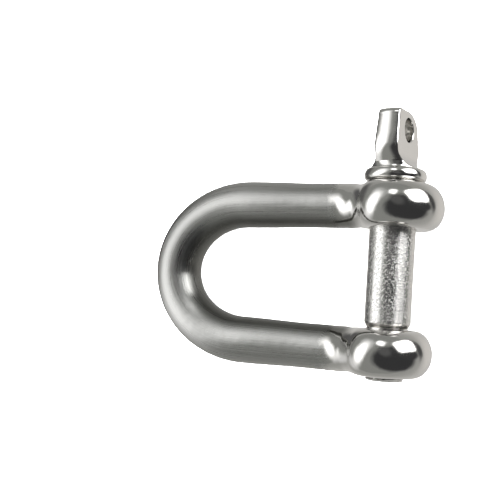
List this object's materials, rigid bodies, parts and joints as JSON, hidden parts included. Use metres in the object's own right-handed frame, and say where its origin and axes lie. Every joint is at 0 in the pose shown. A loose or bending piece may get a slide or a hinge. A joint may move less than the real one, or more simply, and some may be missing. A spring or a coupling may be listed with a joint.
{
  "type": "screw-pin dee shackle",
  "caption": "Stainless dee shackle: a round bar bent to a D with an eye at each end, closed by a screw pin with a flat drilled tab.",
  "frame": {"origin": "middle of the underside of the bounding box, on the surface that the shackle lies on", "axes": "+Z is the normal of the D's plane, with the shackle lying on its side; the pin's axis runs along Y, its tab towards +Y; the legs run along X, with the bow at -X"},
  "size_m": [0.0672, 0.056, 0.0204],
  "materials": {
    "satin_stainless": "satin, fine lengthwise polishing lines on the bar, mirror polished on the eyes",
    "polished_stainless": "mirror polished"
  },
  "bodies": {
    "shackle": {"shackle_body": "satin_stainless"},
    "pin": {"screw_pin": "polished_stainless"}
  },
  "joints": [
    {"name": "pin_slide", "type": "slide", "parent": "shackle", "child": "pin", "axis": [0, 1, 0], "range_m": [0, 0.045]}
  ]
}
